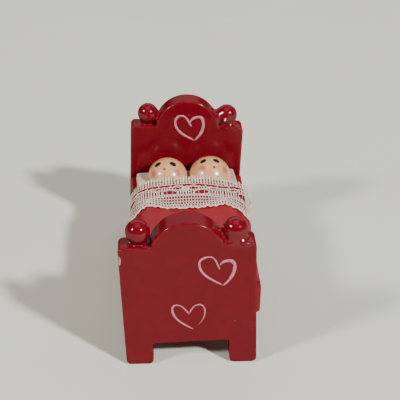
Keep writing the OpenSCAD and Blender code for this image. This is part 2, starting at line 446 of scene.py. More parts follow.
class Effects:
    """Builds each shared effect once."""

    def __init__(self) -> None:
        """Starts with none built."""
        self.built: dict[Effect, bpy.types.NodeTree] = {}

    def get(self, effect: Effect) -> bpy.types.NodeTree:
        """Gives an effect's node group.

        Args:
            effect: Which effect.

        Returns:
            The group, built on its first use.
        """
        makers = {
            Effect.BRUSHED: self.brushed,
            Effect.DUST: self.dust,
            Effect.WEAR: self.wear_and_highlight,
            Effect.GRAIN: self.grain,
            Effect.TWIST: self.twist,
        }
        if effect not in self.built:
            self.built[effect] = makers[effect]()
        return self.built[effect]

    def start(self, effect: Effect, inputs: dict[str, float]) -> tuple[Bench, bpy.types.NodeOutputs]:
        """Makes a group with its inputs.

        Args:
            effect: Which effect.
            inputs: Names and values of the number inputs; Place is added as a vector.

        Returns:
            A bench on the group's tree, and what the group is given.
        """
        tree = bpy.data.node_groups.new(effect.value, "ShaderNodeTree")
        tree.interface.new_socket(name="Place", in_out="INPUT", socket_type="NodeSocketVector")
        for name, value in inputs.items():
            socket = tree.interface.new_socket(name=name, in_out="INPUT", socket_type="NodeSocketFloat")
            socket.default_value = value
        return Bench(tree), tree.nodes.new("NodeGroupInput").outputs

    def end(self, bench: Bench, outputs: dict[str, Socket]) -> bpy.types.NodeTree:
        """Gives a group its outputs.

        Args:
            bench: The bench on its tree.
            outputs: Names of the number outputs and what feeds them.

        Returns:
            The finished group.
        """
        for name in outputs:
            bench.tree.interface.new_socket(name=name, in_out="OUTPUT", socket_type="NodeSocketFloat")
        bench.feed(bench.tree.nodes.new("NodeGroupOutput"), outputs)
        return bench.tree

    def brushed(self) -> bpy.types.NodeTree:
        """Uneven thick paint: long soft waves and a fine skin.

        Returns:
            The group.
        """
        bench, given = self.start(Effect.BRUSHED, {"Wave size": 140.0, "Skin size": 900.0})
        place, size = given["Place"], given["Wave size"]
        skin = bench.times(bench.noise(place, given["Skin size"], 3.0), 0.08)
        height = bench.plus(bench.noise(place, size, 1.5), skin)
        tone = bench.span(bench.noise(place, size, 4.0, bend=0.6), 0.35, 0.65)
        return self.end(bench, {"Height": height, "Tone": tone})

    def dust(self) -> bpy.types.NodeTree:
        """Small scattered specks of dust and pinholes in the paint.

        Returns:
            The group.
        """
        bench, given = self.start(Effect.DUST, {"Specks": 700.0, "Amount": 0.08})
        cell = bench.add("TexVoronoi", {"Vector": given["Place"], "Scale": given["Specks"]}).outputs
        chosen = bench.add("SeparateColor", {0: cell["Color"]}).outputs[0]
        size = bench.times(bench.math("LESS_THAN", chosen, given["Amount"]), 0.16)
        return self.end(bench, {"Mask": bench.math("LESS_THAN", cell["Distance"], size)})

    def wear_and_highlight(self) -> bpy.types.NodeTree:
        """Turns a smooth edge mask into broken patches of rubbed wear; the lacquer also lightens them as
        painted highlight.

        Returns:
            The group.
        """
        bench, given = self.start(Effect.WEAR, {"Edge": 0.0, "Strength": 0.5, "Patch size": 500.0})
        patch = bench.noise(given["Place"], given["Patch size"], 5.0, 0.65)
        rubbed = bench.times(given["Edge"], bench.span(patch, 0.42, 0.62))
        return self.end(bench, {"Mask": bench.times(rubbed, given["Strength"])})

    def grain(self) -> bpy.types.NodeTree:
        """Long wood fibres along the Z axis of the given place.

        Returns:
            The group.
        """
        bench, given = self.start(Effect.GRAIN, {"Fibre size": 260.0})
        drawn = bench.add("Mapping", {"Vector": given["Place"], "Scale": (1.0, 1.0, 0.07)}).outputs[0]
        fibre = bench.noise(drawn, given["Fibre size"], 6.0, 0.6)
        waves = {"Vector": drawn, "Scale": 90.0, "Distortion": 5.0, "Detail": 2.0}
        rings = bench.add("TexWave", waves, bands_direction="X").outputs["Fac"]
        tone = bench.times(bench.plus(rings, fibre), 0.5)
        return self.end(bench, {"Height": bench.span(fibre, 0.3, 0.7), "Tone": tone})

    def twist(self) -> bpy.types.NodeTree:
        """Fine twisted fibres of a cotton thread.

        Returns:
            The group.
        """
        bench, given = self.start(Effect.TWIST, {"Fibre size": 5200.0})
        turned = {"Vector": given["Place"], "Rotation": (0.5, 0.3, 0.8), "Scale": (1.0, 0.35, 1.0)}
        drawn = bench.add("Mapping", turned).outputs[0]
        fibre = bench.noise(drawn, given["Fibre size"], 3.0)
        tone = bench.span(bench.noise(given["Place"], 260.0, 3.0), 0.3, 0.7)
        return self.end(bench, {"Height": fibre, "Tone": tone})


EFFECTS = Effects()


# ---------------------------------------------------------------- finishes


@dataclass(frozen=True)
class Finish:
    """What every finish has: a name and a shader with its plain values.

    Attributes:
        name: Name of the material.
        roughness: Roughness of the shader, or the one that it varies round.
        gloss: Strength of the shader's own reflection.
        coat: Weight of a clear top layer.
        coat_roughness: Roughness of that layer.
        coat_index: Refractive index of that layer.
    """

    name: str
    roughness: float = 0.3
    gloss: float = 0.5
    coat: float = 0.0
    coat_roughness: float = 0.1
    coat_index: float = 1.5

    def make(self) -> Material:
        """Builds the material.

        Returns:
            The material.
        """
        material = bpy.data.materials.new(self.name)
        material.use_nodes = True
        bench, shader = Bench(material.node_tree), material.node_tree.nodes["Principled BSDF"]
        plain = {
            "Roughness": self.roughness,
            "Specular IOR Level": self.gloss,
            "Coat Weight": self.coat,
            "Coat Roughness": self.coat_roughness,
            "Coat IOR": self.coat_index,
        }
        for inputs in (plain, self.vary(bench)):
            bench.feed(shader, inputs)
        return material

    def vary(self, bench: Bench) -> dict[str, object]:
        """Builds what a finish adds to the plain values.

        Args:
            bench: The bench on the material's tree.

        Returns:
            The shader's socket names and what each is given.
        """
        return {}

    def effect(self, bench: Bench, effect: Effect, inputs: dict) -> bpy.types.NodeOutputs:
        """Places a shared effect in this finish.

        Args:
            bench: The bench on the material's tree.
            effect: Which effect.
            inputs: Names of the effect's inputs and what each is given.

        Returns:
            What the effect puts out.
        """
        node = bench.add("Group", {}, node_tree=EFFECTS.get(effect))
        bench.feed(node, inputs)
        return node.outputs

    def brushed(self, bench: Bench, place: Socket, wave: float, skin: float) -> bpy.types.NodeOutputs:
        """Places the brushed paint with its sizes."""
        return self.effect(bench, Effect.BRUSHED, {"Place": place, "Wave size": wave, "Skin size": skin})

    def worn(self, bench: Bench, place: Socket, strength: float, patch: float) -> Socket:
        """Picks rubbed patches along the piece's edge mask; the lacquer lightens them, partly as painted
        highlight.
        """
        inputs = {"Place": place, "Edge": bench.mask("edge"), "Strength": strength, "Patch size": patch}
        return self.effect(bench, Effect.WEAR, inputs)["Mask"]

    def bump(self, bench: Bench, height: Socket, depth: float, strength: float = 1.0) -> Socket:
        """Turns a height into a normal; depth is in millimetres."""
        return bench.add("Bump", {"Height": height, "Strength": strength, "Distance": depth * MM}).outputs[0]


@dataclass(frozen=True)
class Lacquer(Finish):
    """Thick glossy coloured lacquer over wood.

    Attributes:
        colour: The even colour of the paint.
        thin: Its colour where it is thin.
        speck: Colour of the dust in it.
        bare: Wood colour in a chip.
        chipped: Whether the piece has a mask that shows bare wood.
        wave: Depth of the paint's soft waves in millimetres.
    """

    gloss: float = 0.0
    coat: float = 0.14
    coat_roughness: float = 0.16
    coat_index: float = 2.0
    colour: Colour = (0.108, 0.0025, 0.0070)
    thin: Colour = (0.1187, 0.0031, 0.0077)
    speck: Colour = (0.35, 0.12, 0.12)
    bare: Colour = (0.5, 0.28, 0.2267)
    chipped: bool = False
    wave: float = 0.035

    def vary(self, bench: Bench) -> dict[str, object]:
        """Builds paint, grain, lighter rubbed edges that are partly painted highlight, dust and chips.

        Args:
            bench: The bench on the material's tree.

        Returns:
            The shader's socket names and what each is given.
        """
        place = bench.place()
        paint = self.brushed(bench, place, 150.0, 1100.0)
        grain = self.effect(bench, Effect.GRAIN, {"Place": place, "Fibre size": 420.0})
        dust = self.effect(bench, Effect.DUST, {"Place": place, "Specks": 420.0, "Amount": 0.018})["Mask"]
        wear_and_highlight = self.worn(bench, place, 0.55, 420.0)
        colour = bench.mix(paint["Tone"], self.colour, self.thin)
        # Lighter red on the edge patches: partly rubbed wear, partly painted highlight on rounded edges and
        # ball tops.
        colour = bench.mix(wear_and_highlight, colour, tuple(c * 1.6 + 0.01 for c in self.thin))
        colour = bench.mix(bench.times(dust, 0.25), colour, self.speck)
        uneven = bench.span(paint["Tone"], 0, 1, self.roughness - 0.04, self.roughness + 0.05)
        rough = bench.plus(uneven, bench.times(dust, 0.3))
        height = bench.plus(paint["Height"], bench.times(grain["Height"], 0.03))
        coat = bench.math("SUBTRACT", self.coat, bench.times(wear_and_highlight, 0.1))
        if self.chipped:
            torn = bench.plus(bench.mask("bare"), bench.times(bench.noise(place, 1500.0, 4.0), 0.5))
            ragged = bench.span(torn, 0.68, 0.80)
            wood = bench.mix(grain["Tone"], self.bare, tuple(c * 0.7 for c in self.bare))
            colour = bench.mix(ragged, colour, wood)
            rough = bench.plus(rough, bench.times(ragged, 0.4))
            coat = bench.times(coat, bench.math("SUBTRACT", 1.0, ragged))
        normal = self.bump(bench, height, self.wave)
        return {"Base Color": colour, "Roughness": rough, "Coat Weight": coat, "Normal": normal}


@dataclass(frozen=True)
class GlossPaint(Finish):
    """Plain glossy paint with a little grime, for the pillow.

    Attributes:
        colour: The clean paint.
        grime: The colour that gathers in it.
    """

    colour: Colour = (0.52, 0.4, 0.32)
    grime: Colour = (0.36, 0.2533, 0.1867)

    def vary(self, bench: Bench) -> dict[str, object]:
        """Builds paint with grime on its edges and in its specks.

        Args:
            bench: The bench on the material's tree.

        Returns:
            The shader's socket names and what each is given.
        """
        place = bench.place()
        paint = self.brushed(bench, place, 220.0, 1500.0)
        dust = self.effect(bench, Effect.DUST, {"Place": place, "Specks": 600.0, "Amount": 0.06})["Mask"]
        colour = bench.mix(bench.times(paint["Tone"], 0.35), self.colour, self.grime)
        colour = bench.mix(self.worn(bench, place, 0.5, 600.0), colour, self.grime)
        colour = bench.mix(dust, colour, tuple(c * 0.7 for c in self.grime))
        rough = bench.span(paint["Tone"], 0, 1, self.roughness, self.roughness + 0.1)
        return {"Base Color": colour, "Roughness": rough, "Normal": self.bump(bench, paint["Height"], 0.06)}


@dataclass(frozen=True)
class SkinPaint(Finish):
    """Varnished pale wood with blushed cheeks and a painted cap of hair.

    Attributes:
        colour: The head's own colour.
        shade: A warmer, darker patch of it.
        blush: The cheeks.
        hair: The hair paint.
        hair_dark: Its darker strands.
    """

    colour: Colour = (0.5067, 0.26, 0.12)
    shade: Colour = (0.4533, 0.2, 0.08)
    blush: Colour = (0.3467, 0.0667, 0.08)
    hair: Colour = (0.4667, 0.3, 0.08)
    hair_dark: Colour = (0.3333, 0.2, 0.04)

    def vary(self, bench: Bench) -> dict[str, object]:
        """Builds skin, cheeks and a ragged line of hair strands.

        Args:
            bench: The bench on the material's tree.

        Returns:
            The shader's socket names and what each is given.
        """
        place = bench.place()
        paint = self.brushed(bench, place, 260.0, 1600.0)
        grain = self.effect(bench, Effect.GRAIN, {"Place": place, "Fibre size": 520.0})
        colour = bench.mix(bench.times(grain["Tone"], 0.6), self.colour, self.shade)
        patchy = bench.span(bench.noise(place, 1800.0, 3.0), 0.2, 0.7, 0.65, 1.0)
        colour = bench.mix(bench.times(bench.mask("blush"), patchy), colour, self.blush)
        strand = bench.noise(bench.place((1.0, 1.0, 0.25)), 2600.0, 4.0, 0.6)
        line = bench.span(bench.plus(bench.mask("hair"), bench.times(strand, 0.5)), 0.70, 0.80)
        locks = bench.mix(bench.span(strand, 0.35, 0.65), self.hair, self.hair_dark)
        colour = bench.mix(line, colour, locks)
        rough = bench.span(paint["Tone"], 0, 1, self.roughness - 0.03, self.roughness + 0.06)
        height = bench.plus(paint["Height"], bench.times(bench.times(line, strand), 0.7))
        return {"Base Color": colour, "Roughness": rough, "Normal": self.bump(bench, height, 0.05)}


@dataclass(frozen=True)
class BrushMark(Finish):
    """Paint laid on with a fine brush: hearts, eyes and mouths.

    Attributes:
        colour: The full paint.
        under: What shines through where it is thin.
        cover: How much of the stroke is full paint, from 0 to 1.
    """

    colour: Colour = (0.44, 0.16, 0.1867)
    under: Colour = (0.2533, 0.0333, 0.0467)
    cover: float = 0.7

    def vary(self, bench: Bench) -> dict[str, object]:
        """Builds full paint with dry gaps.

        Args:
            bench: The bench on the material's tree.

        Returns:
            The shader's socket names and what each is given.
        """
        place = bench.place()
        paint = self.brushed(bench, place, 900.0, 3000.0)
        thin = 0.30 + 0.4 * self.cover
        dry = bench.span(bench.noise(place, 1300.0, 5.0, 0.6), thin, thin + 0.12)
        colour = bench.mix(dry, self.colour, self.under)
        colour = bench.mix(bench.times(paint["Tone"], 0.3), colour, self.under)
        rough = bench.span(dry, 0, 1, self.roughness, self.roughness - 0.1)
        return {"Base Color": colour, "Roughness": rough, "Normal": self.bump(bench, paint["Height"], 0.03)}


@dataclass(frozen=True)
class LaceThread(Finish):
    """Off-white cotton and nylon lace thread.

    Attributes:
        colour: The clean thread.
        aged: Its yellowed and dusty places; it is also laid more strongly into the low grooves of the twist.
    """

    colour: Colour = (0.6, 0.4933, 0.4067)
    aged: Colour = (0.44, 0.3067, 0.2467)

    def vary(self, bench: Bench) -> dict[str, object]:
        """Builds twisted thread with a soft sheen.

        Args:
            bench: The bench on the material's tree.

        Returns:
            The shader's socket names and what each is given.
        """
        twist = self.effect(bench, Effect.TWIST, {"Place": bench.place()})
        fibre = twist["Height"]
        colour = bench.mix(bench.times(twist["Tone"], 0.6), self.colour, self.aged)
        return {
            # Where the twist's height is low, in the grooves between fibres, the thread takes more of the
            # darker aged colour.
            "Base Color": bench.mix(bench.span(fibre, 0.3, 0.5, 0.35, 0.0), colour, self.aged),
            "Roughness": bench.span(fibre, 0.2, 0.8, self.roughness + 0.1, self.roughness - 0.1),
            "Sheen Weight": 0.25,
            "Sheen Roughness": 0.5,
            "Normal": self.bump(bench, fibre, 0.04, 0.8),
        }


@dataclass(frozen=True)
class BareWood(Finish):
    """Unpainted dowel wood.

    Attributes:
        colour: The pale wood between its fibres.
        fibre: The darker fibres.
    """

    colour: Colour = (0.62, 0.44, 0.26)
    fibre: Colour = (0.40, 0.25, 0.13)

    def vary(self, bench: Bench) -> dict[str, object]:
        """Builds the grain.

        Args:
            bench: The bench on the material's tree.

        Returns:
            The shader's socket names and what each is given.
        """
        grain = self.effect(bench, Effect.GRAIN, {"Place": bench.place(), "Fibre size": 900.0})
        colour = bench.mix(grain["Tone"], self.colour, self.fibre)
        rough = bench.span(grain["Height"], 0, 1, self.roughness, self.roughness + 0.2)
        return {"Base Color": colour, "Roughness": rough, "Normal": self.bump(bench, grain["Height"], 0.05)}


@dataclass(frozen=True)
class Backdrop(Finish):
    """Pale matt paper under the bed.

    Attributes:
        colour: The paper.
        mottle: Its slightly darker clouds.
    """

    colour: Colour = (0.5267, 0.5333, 0.4533)
    mottle: Colour = (0.5133, 0.5167, 0.4367)

    def vary(self, bench: Bench) -> dict[str, object]:
        """Builds soft clouds and a fine tooth.

        Args:
            bench: The bench on the material's tree.

        Returns:
            The shader's socket names and what each is given.
        """
        place = bench.place()
        cloud = bench.span(bench.noise(place, 9.0, 4.0), 0.35, 0.65)
        normal = self.bump(bench, bench.noise(place, 900.0, 4.0), 0.05, 0.3)
        return {"Base Color": bench.mix(cloud, self.colour, self.mottle), "Normal": normal}


# ---------------------------------------------------------------- end boards and finials


@dataclass
class EndBoard:
    """One end board, leaning in its own plane and cut flush with the floor.

    Attributes:
        node: CAD node that it stands for.
        shoulder: Height of the square shoulders.
        arch_rise: Height of the arch over them.
        lean: Lean of the top toward +X, in degrees.
        front_y: Place of its face nearer the foot end.
        width: Width across.
        thickness: Thickness along the bed.
        arch_radius: Radius of the arch.
        corner: Radius of the shoulders' corners.
        leg: Width of a leg.
        leg_height: Height of the cut-out.
        foot_round: Rounding of the feet's corners on the floor.
        edge: Radius of the sanded edges.
        step: Spacing of the skin.
    """

    node: str
    shoulder: float
    arch_rise: float
    lean: float
    front_y: float
    width: float = 52.0
    thickness: float = 9.2
    arch_radius: float = 14.4
    corner: float = 2.0
    leg: float = 10.9
    leg_height: float = 10.8
    foot_round: float = 2.2
    edge: float = 0.75
    step: float = 0.42

    def own_frame(self, p: Array) -> tuple[Array, Array, Array]:
        """Turns places into the leaning board's own frame.

        Args:
            p: The places.

        Returns:
            Across, along and up.
        """
        a = math.radians(self.lean)
        x = p[:, 0] * math.cos(a) - p[:, 2] * math.sin(a)
        z = p[:, 0] * math.sin(a) + p[:, 2] * math.cos(a)
        return x, p[:, 1] - self.front_y - self.thickness / 2, z

    def outline(self, x: Array, z: Array) -> Array:
        """Draws the board with the cut-out between its legs.

        Args:
            x: Places across, in the board's frame.
            z: Places upward.

        Returns:
            Distances to the flat outline.
        """
        body = round_rectangle(x, z, self.width / 2, -20.0, self.shoulder, self.corner)
        arch = np.hypot(x, z - (self.shoulder + self.arch_rise - self.arch_radius)) - self.arch_radius
        gap = round_rectangle(x, z, self.width / 2 - self.leg, -30.0, self.leg_height, 1.5)
        return blend_max(blend_min(body, arch, 0.9), -gap, 0.3)

    def distance(self, p: Array) -> Array:
        """Gives the outline its thickness and stands it on the floor.

        Args:
            p: The places.

        Returns:
            Distances to the board.
        """
        x, y, z = self.own_frame(p)
        flat = blend_max(self.outline(x, z), -p[:, 2], self.foot_round)
        return blend_max(slab(flat, y, self.thickness / 2, self.edge), -p[:, 2], 0.2)

    def edges(self, p: Array) -> Array:
        """Finds the sanded edges.

        Args:
            p: Places on the board.

        Returns:
            1 along the edges and 0 on the flats.
        """
        x, y, z = self.own_frame(p)
        rim = near(self.outline(x, z), -1.1, -0.1)
        face = near(np.abs(y), self.thickness / 2 - 1.1, self.thickness / 2 - 0.1)
        return rim * face

    def build(self, finish: Material, chips: Sequence[tuple[Array, Array]] = ()) -> None:
        """Makes the board.

        Args:
            finish: The lacquer.
            chips: Middle and half size of each place where paint has come off.
        """

        def worn(p: Array) -> Array:
            """Scoops the chips out of the board.

            Args:
                p: The places.

            Returns:
                Distances to what is left.
            """
            d = self.distance(p)
            for middle, half in chips:
                scoop = (np.linalg.norm((p - middle) / half, axis=1) - 1) * float(half.min())
                d = blend_max(d, -scoop, 0.05)
            return d

        piece, points = painted(self.node, worn, finish, self.step)
        add_mask(piece, "edge", self.edges(points))
        bare = np.zeros(len(points))
        for middle, half in chips:
            away = np.linalg.norm((points - middle) / half, axis=1)
            bare = np.maximum(bare, 1 - near(away, 0.8, 1.35))
        add_mask(piece, "bare", bare)


@dataclass
class Finial:
    """A ball on a shoulder, with the paint that ran between it and the board.

    Attributes:
        node: CAD node that it stands for.
        board: The board that carries it.
        web: Reach of the paint between ball and board.
        drips: Beads of dried paint: across, height and radius; each is set back to the surface.
        radius: Radius of the ball.
        sunk: How far the web's paint ends under the board's surface.
        bead_wide: Width of a dried bead against its radius.
        bead_flat: Height of a dried bead against its radius.
        step: Spacing of the skin.
    """

    node: str
    board: EndBoard
    web: float
    drips: tuple[tuple[float, float, float], ...] = ()
    radius: float = 4.7
    sunk: float = 0.07
    bead_wide: float = 1.2
    bead_flat: float = 0.42
    step: float = 0.3

    @property
    def bead_up(self) -> Array:
        """Way the flat of a dried bead faces: up, forward and a little to the right."""
        way = np.array([0.33, -0.74, 0.59])
        return way / np.linalg.norm(way)

    def drops(self, smooth: Distance) -> list[tuple[Array, float]]:
        """Sets the beads back onto the first surface behind them.

        Args:
            smooth: Distances to ball and web.

        Returns:
            Place and radius of each bead.
        """
        found = []
        inward = np.linspace(0, 9, 90)[:, None] * np.array([0.0, 0.87, -0.5])
        for across, height, size in self.drips:
            way = np.array([across, self.board.front_y - 0.5, height]) + inward
            hit = np.flatnonzero(np.minimum(smooth(way), self.board.distance(way)) < 0)
            if len(hit):
                found.append((way[hit[0]], size))
        return found

    def build(self, finish: Material) -> None:
        """Makes the ball.

        Args:
            finish: The lacquer.
        """
        low, high = box_of(self.node)
        middle = np.array([(low[0] + high[0]) / 2, (low[1] + high[1]) / 2, high[2] - self.radius])

        def smooth(p: Array) -> Array:
            """Joins ball and web, ending just under the board's own surface.

            Args:
                p: The places.

            Returns:
                Distances to ball and web.
            """
            away = np.linalg.norm(p - middle, axis=1) - self.radius
            wood = self.board.distance(p) + self.sunk
            run = blend_min(away, wood, self.web)
            run = blend_max(run, away - self.web * 0.95 - 0.25, 0.2)
            return blend_max(run, np.abs(p[:, 1] - middle[1]) - self.board.thickness / 2 - 0.3, 0.5)

        drops = self.drops(smooth)

        def ball(p: Array) -> Array:
            """Adds the beads of paint that ran down and dried.

            Args:
                p: The places.

            Returns:
                Distances to ball, web and beads.
            """
            run, wood = smooth(p), self.board.distance(p) + self.sunk
            for drop, size in drops:
                gap = p - drop
                up = gap @ self.bead_up
                flat = np.sqrt(np.maximum((gap**2).sum(1) - up**2, 0))
                bead = (np.hypot(flat / self.bead_wide, up / self.bead_flat) - size) * self.bead_flat
                run = blend_min(run, blend_min(bead, np.maximum(wood, bead - 0.9), 0.8), 0.3)
            return run

        piece, points = painted(self.node, ball, finish, self.step, self.web + 1.0)
        # The edge mask here is a cap over the ball's top, which the lacquer lightens: rubbed wear and a
        # painted highlight.
        add_mask(piece, "edge", near(points[:, 2], middle[2] + 3.6, middle[2] + 4.8) * 0.35)


# ---------------------------------------------------------------- bed block and blanket


@dataclass
class Loaf:
    """Cross-section shared by bed block, blanket and lace.

    Attributes:
        middle_x: Place of its middle across.
        half: Half the width.
        bottom: Underside.
        seat: Bare top beside the pillow.
        top: Top of the crown.
        radius: Radius of the long edges.
        crown: Height of the crown.
    """

    middle_x: float
    half: float
    bottom: float
    seat: float
    top: float
    radius: float = 11.0
    crown: float = 0.6

    def __post_init__(self) -> None:
        """Works out the crown's circle and where the edges meet it."""
        chord = self.half - self.radius
        self.chord = chord
        self.crown_radius = (chord * chord + self.crown * self.crown) / (2 * self.crown)
        reach = self.crown_radius - self.radius
        self.edge_z = self.top - self.crown_radius + math.sqrt(reach * reach - chord * chord)
        self.meet = math.asin(chord / reach)

    def distance(self, x: Array, z: Array) -> Array:
        """Draws the cross-section, going on below the underside.

        Args:
            x: Places across.
            z: Places upward.

        Returns:
            The distances, negative inside.
        """
        u = np.abs(x - self.middle_x)
        centre = self.top - self.crown_radius
        crown = np.hypot(u, z - centre) - self.crown_radius
        edge = np.hypot(u - self.chord, z - self.edge_z) - self.radius
        side = u - self.half
        steep = np.arctan2(u, z - centre) > self.meet
        below = np.where(u > self.chord, side, np.maximum(side, z - self.top))
        return np.where(z < self.edge_z, below, np.where(steep, edge, crown))

    def wrap(self, s: Array, lift: Array) -> tuple[Array, Array, Array, Array]:
        """Lays flat places onto the loaf.

        Args:
            s: Distances along the surface from the middle of the crown.
            lift: Heights over the surface.

        Returns:
            Across and up of each place, then across and up of the surface's normal.
        """
        side = np.sign(s)
        a = np.abs(s)
        crown_run = self.meet * self.crown_radius
        bend = np.clip((a - crown_run) / self.radius, 0, math.pi / 2 - self.meet)
        drop = np.maximum(a - crown_run - self.radius * (math.pi / 2 - self.meet), 0)
        turn = np.where(a < crown_run, a / self.crown_radius, self.meet + bend)
        nx, nz = np.sin(turn), np.cos(turn)
        on_crown = a < crown_run
        x = np.where(on_crown, nx * self.crown_radius, self.chord + nx * self.radius)
        crown_z = self.top - self.crown_radius + nz * self.crown_radius
        z = np.where(on_crown, crown_z, self.edge_z + nz * self.radius)
        x = x + nx * lift
        z = z + nz * lift - drop
        return self.middle_x + side * x, z, side * nx, nz


@dataclass
class BedBlock:
    """The block between the boards and the blanket slab on it.

    Attributes:
        loaf: Their cross-section.
        edge: Radius of the small edges.
        step: Spacing of the skins.
    """

    loaf: Loaf
    edge: float = 0.45
    step: float = 0.55

    def length_of(self, node: str, p: Array) -> tuple[Array, float]:
        """Distances from the middle of a node along the bed, and half its length."""
        low, high = box_of(node)
        return p[:, 1] - (low[1] + high[1]) / 2, float(high[1] - low[1]) / 2

    def build(self, finish: Material) -> None:
        """Makes both pieces.

        Args:
            finish: The lacquer.
        """

        def under(p: Array) -> Array:
            """Draws the bed block under the blanket's seat.

            Args:
                p: The places.

            Returns:
                The distances, negative inside.
            """
            along, half = self.length_of("mattress", p)
            cut = blend_max(self.loaf.distance(p[:, 0], p[:, 2]), p[:, 2] - self.loaf.seat, self.edge)
            cut = blend_max(cut, self.loaf.bottom - p[:, 2], 1.4)
            return slab(cut, along, half, 0.12)

        def over(p: Array) -> Array:
            """Draws the blanket slab on the block.

            Args:
                p: The places.

            Returns:
                The distances, negative inside.
            """
            along, half = self.length_of("blanket", p)
            cut = blend_max(self.loaf.distance(p[:, 0], p[:, 2]), self.loaf.seat - p[:, 2], self.edge)
            return slab(cut, along, half, 0.5)

        piece, points = painted("mattress", under, finish, self.step)
        add_mask(piece, "edge", near(points[:, 2], self.loaf.bottom + 1.6, self.loaf.bottom + 0.2))
        piece, points = painted("blanket", over, finish, self.step)
        head_end = box_of("blanket")[1][1]
        add_mask(piece, "edge", near(points[:, 1], head_end - 1.2, head_end))


# ---------------------------------------------------------------- pillow and heads


@dataclass
class Pillow:
    """White block pillow, a little askew.

    Attributes:
        turn: Turn seen from above, in degrees.
        corner: Radius of the upright corners.
        edge: Radius of the upper and lower edges.
        step: Spacing of the skin.
    """

    turn: float = 4.0
    corner: float = 1.8
    edge: float = 0.9
    step: float = 0.35

    def build(self, finish: Material) -> None:
        """Makes the pillow.

        Args:
            finish: The white paint.
        """
        low, high = box_of("pillow")
        middle, span = (low + high) / 2, high - low
        a = math.radians(self.turn)
        c, s = math.cos(a), math.sin(a)
        free = 2 * self.corner * (c + s - 1)
        width = ((span[0] + free) * c - (span[1] + free) * s) / (c * c - s * s)
        depth = ((span[1] + free) * c - (span[0] + free) * s) / (c * c - s * s)

        def shape(p: Array) -> Array:
            """Draws a rounded slab whose top falls a little toward its rim.

            Args:
                p: The places.

            Returns:
                The distances, negative inside.
            """
            x = (p[:, 0] - middle[0]) * c + (p[:, 1] - middle[1]) * s
            y = -(p[:, 0] - middle[0]) * s + (p[:, 1] - middle[1]) * c
            flat = round_rectangle(x, y, width / 2, -depth / 2, depth / 2, self.corner)
            fall = 0.25 * np.clip(np.hypot(x / width, y / depth) * 2, 0, 1) ** 2
            return slab(flat, p[:, 2] - middle[2], span[2] / 2, self.edge) + fall * (p[:, 2] > middle[2])

        piece, points = painted("pillow", shape, finish, self.step)
        flats = near(np.abs(points[:, 2] - middle[2]), span[2] / 2 - 1.0, span[2] / 2 - 0.1)
        add_mask(piece, "edge", flats * near(shape(points - np.array([0, 0, 0.4])), -0.4, 0.0))


